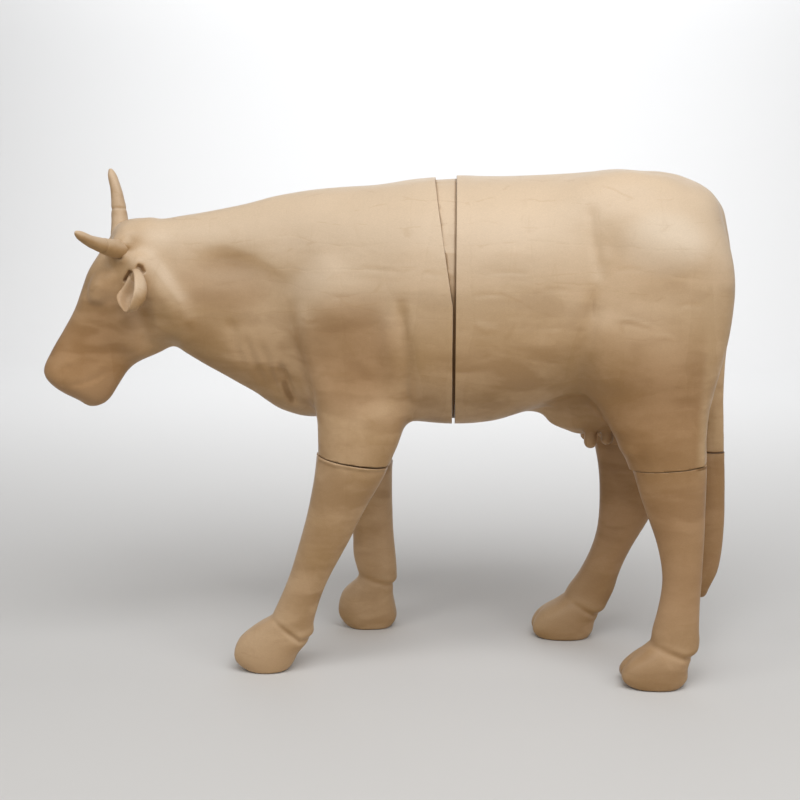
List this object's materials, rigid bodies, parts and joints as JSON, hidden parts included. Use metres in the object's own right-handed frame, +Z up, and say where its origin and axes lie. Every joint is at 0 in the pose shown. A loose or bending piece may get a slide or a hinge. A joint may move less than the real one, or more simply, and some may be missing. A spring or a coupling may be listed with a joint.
{
  "type": "papier-mache cow",
  "caption": "Life-size standing papier-mache cow blank with a turned head, a body in two halves over an inner sleeve, and separate legs, tail end, ears and horns.",
  "frame": {"origin": "on the floor under the middle of the whole cow", "axes": "+X from head to tail along the body, +Y towards the cow's right side, +Z up"},
  "size_m": [2.0292, 0.6131, 1.4845],
  "materials": {
    "kraft_paper": "satin, hand-laid paper strips",
    "worn_paper": "matt, darker paper"
  },
  "bodies": {
    "root": {"front_half": "kraft_paper", "rear_half": "kraft_paper", "joining_sleeve": "worn_paper", "left_fore_leg": "kraft_paper", "right_fore_leg": "kraft_paper", "left_hind_leg": "kraft_paper", "right_hind_leg": "kraft_paper", "tail_end": "kraft_paper", "left_ear": "kraft_paper", "right_ear": "kraft_paper", "left_horn": "kraft_paper", "right_horn": "kraft_paper"}
  },
  "joints": []
}
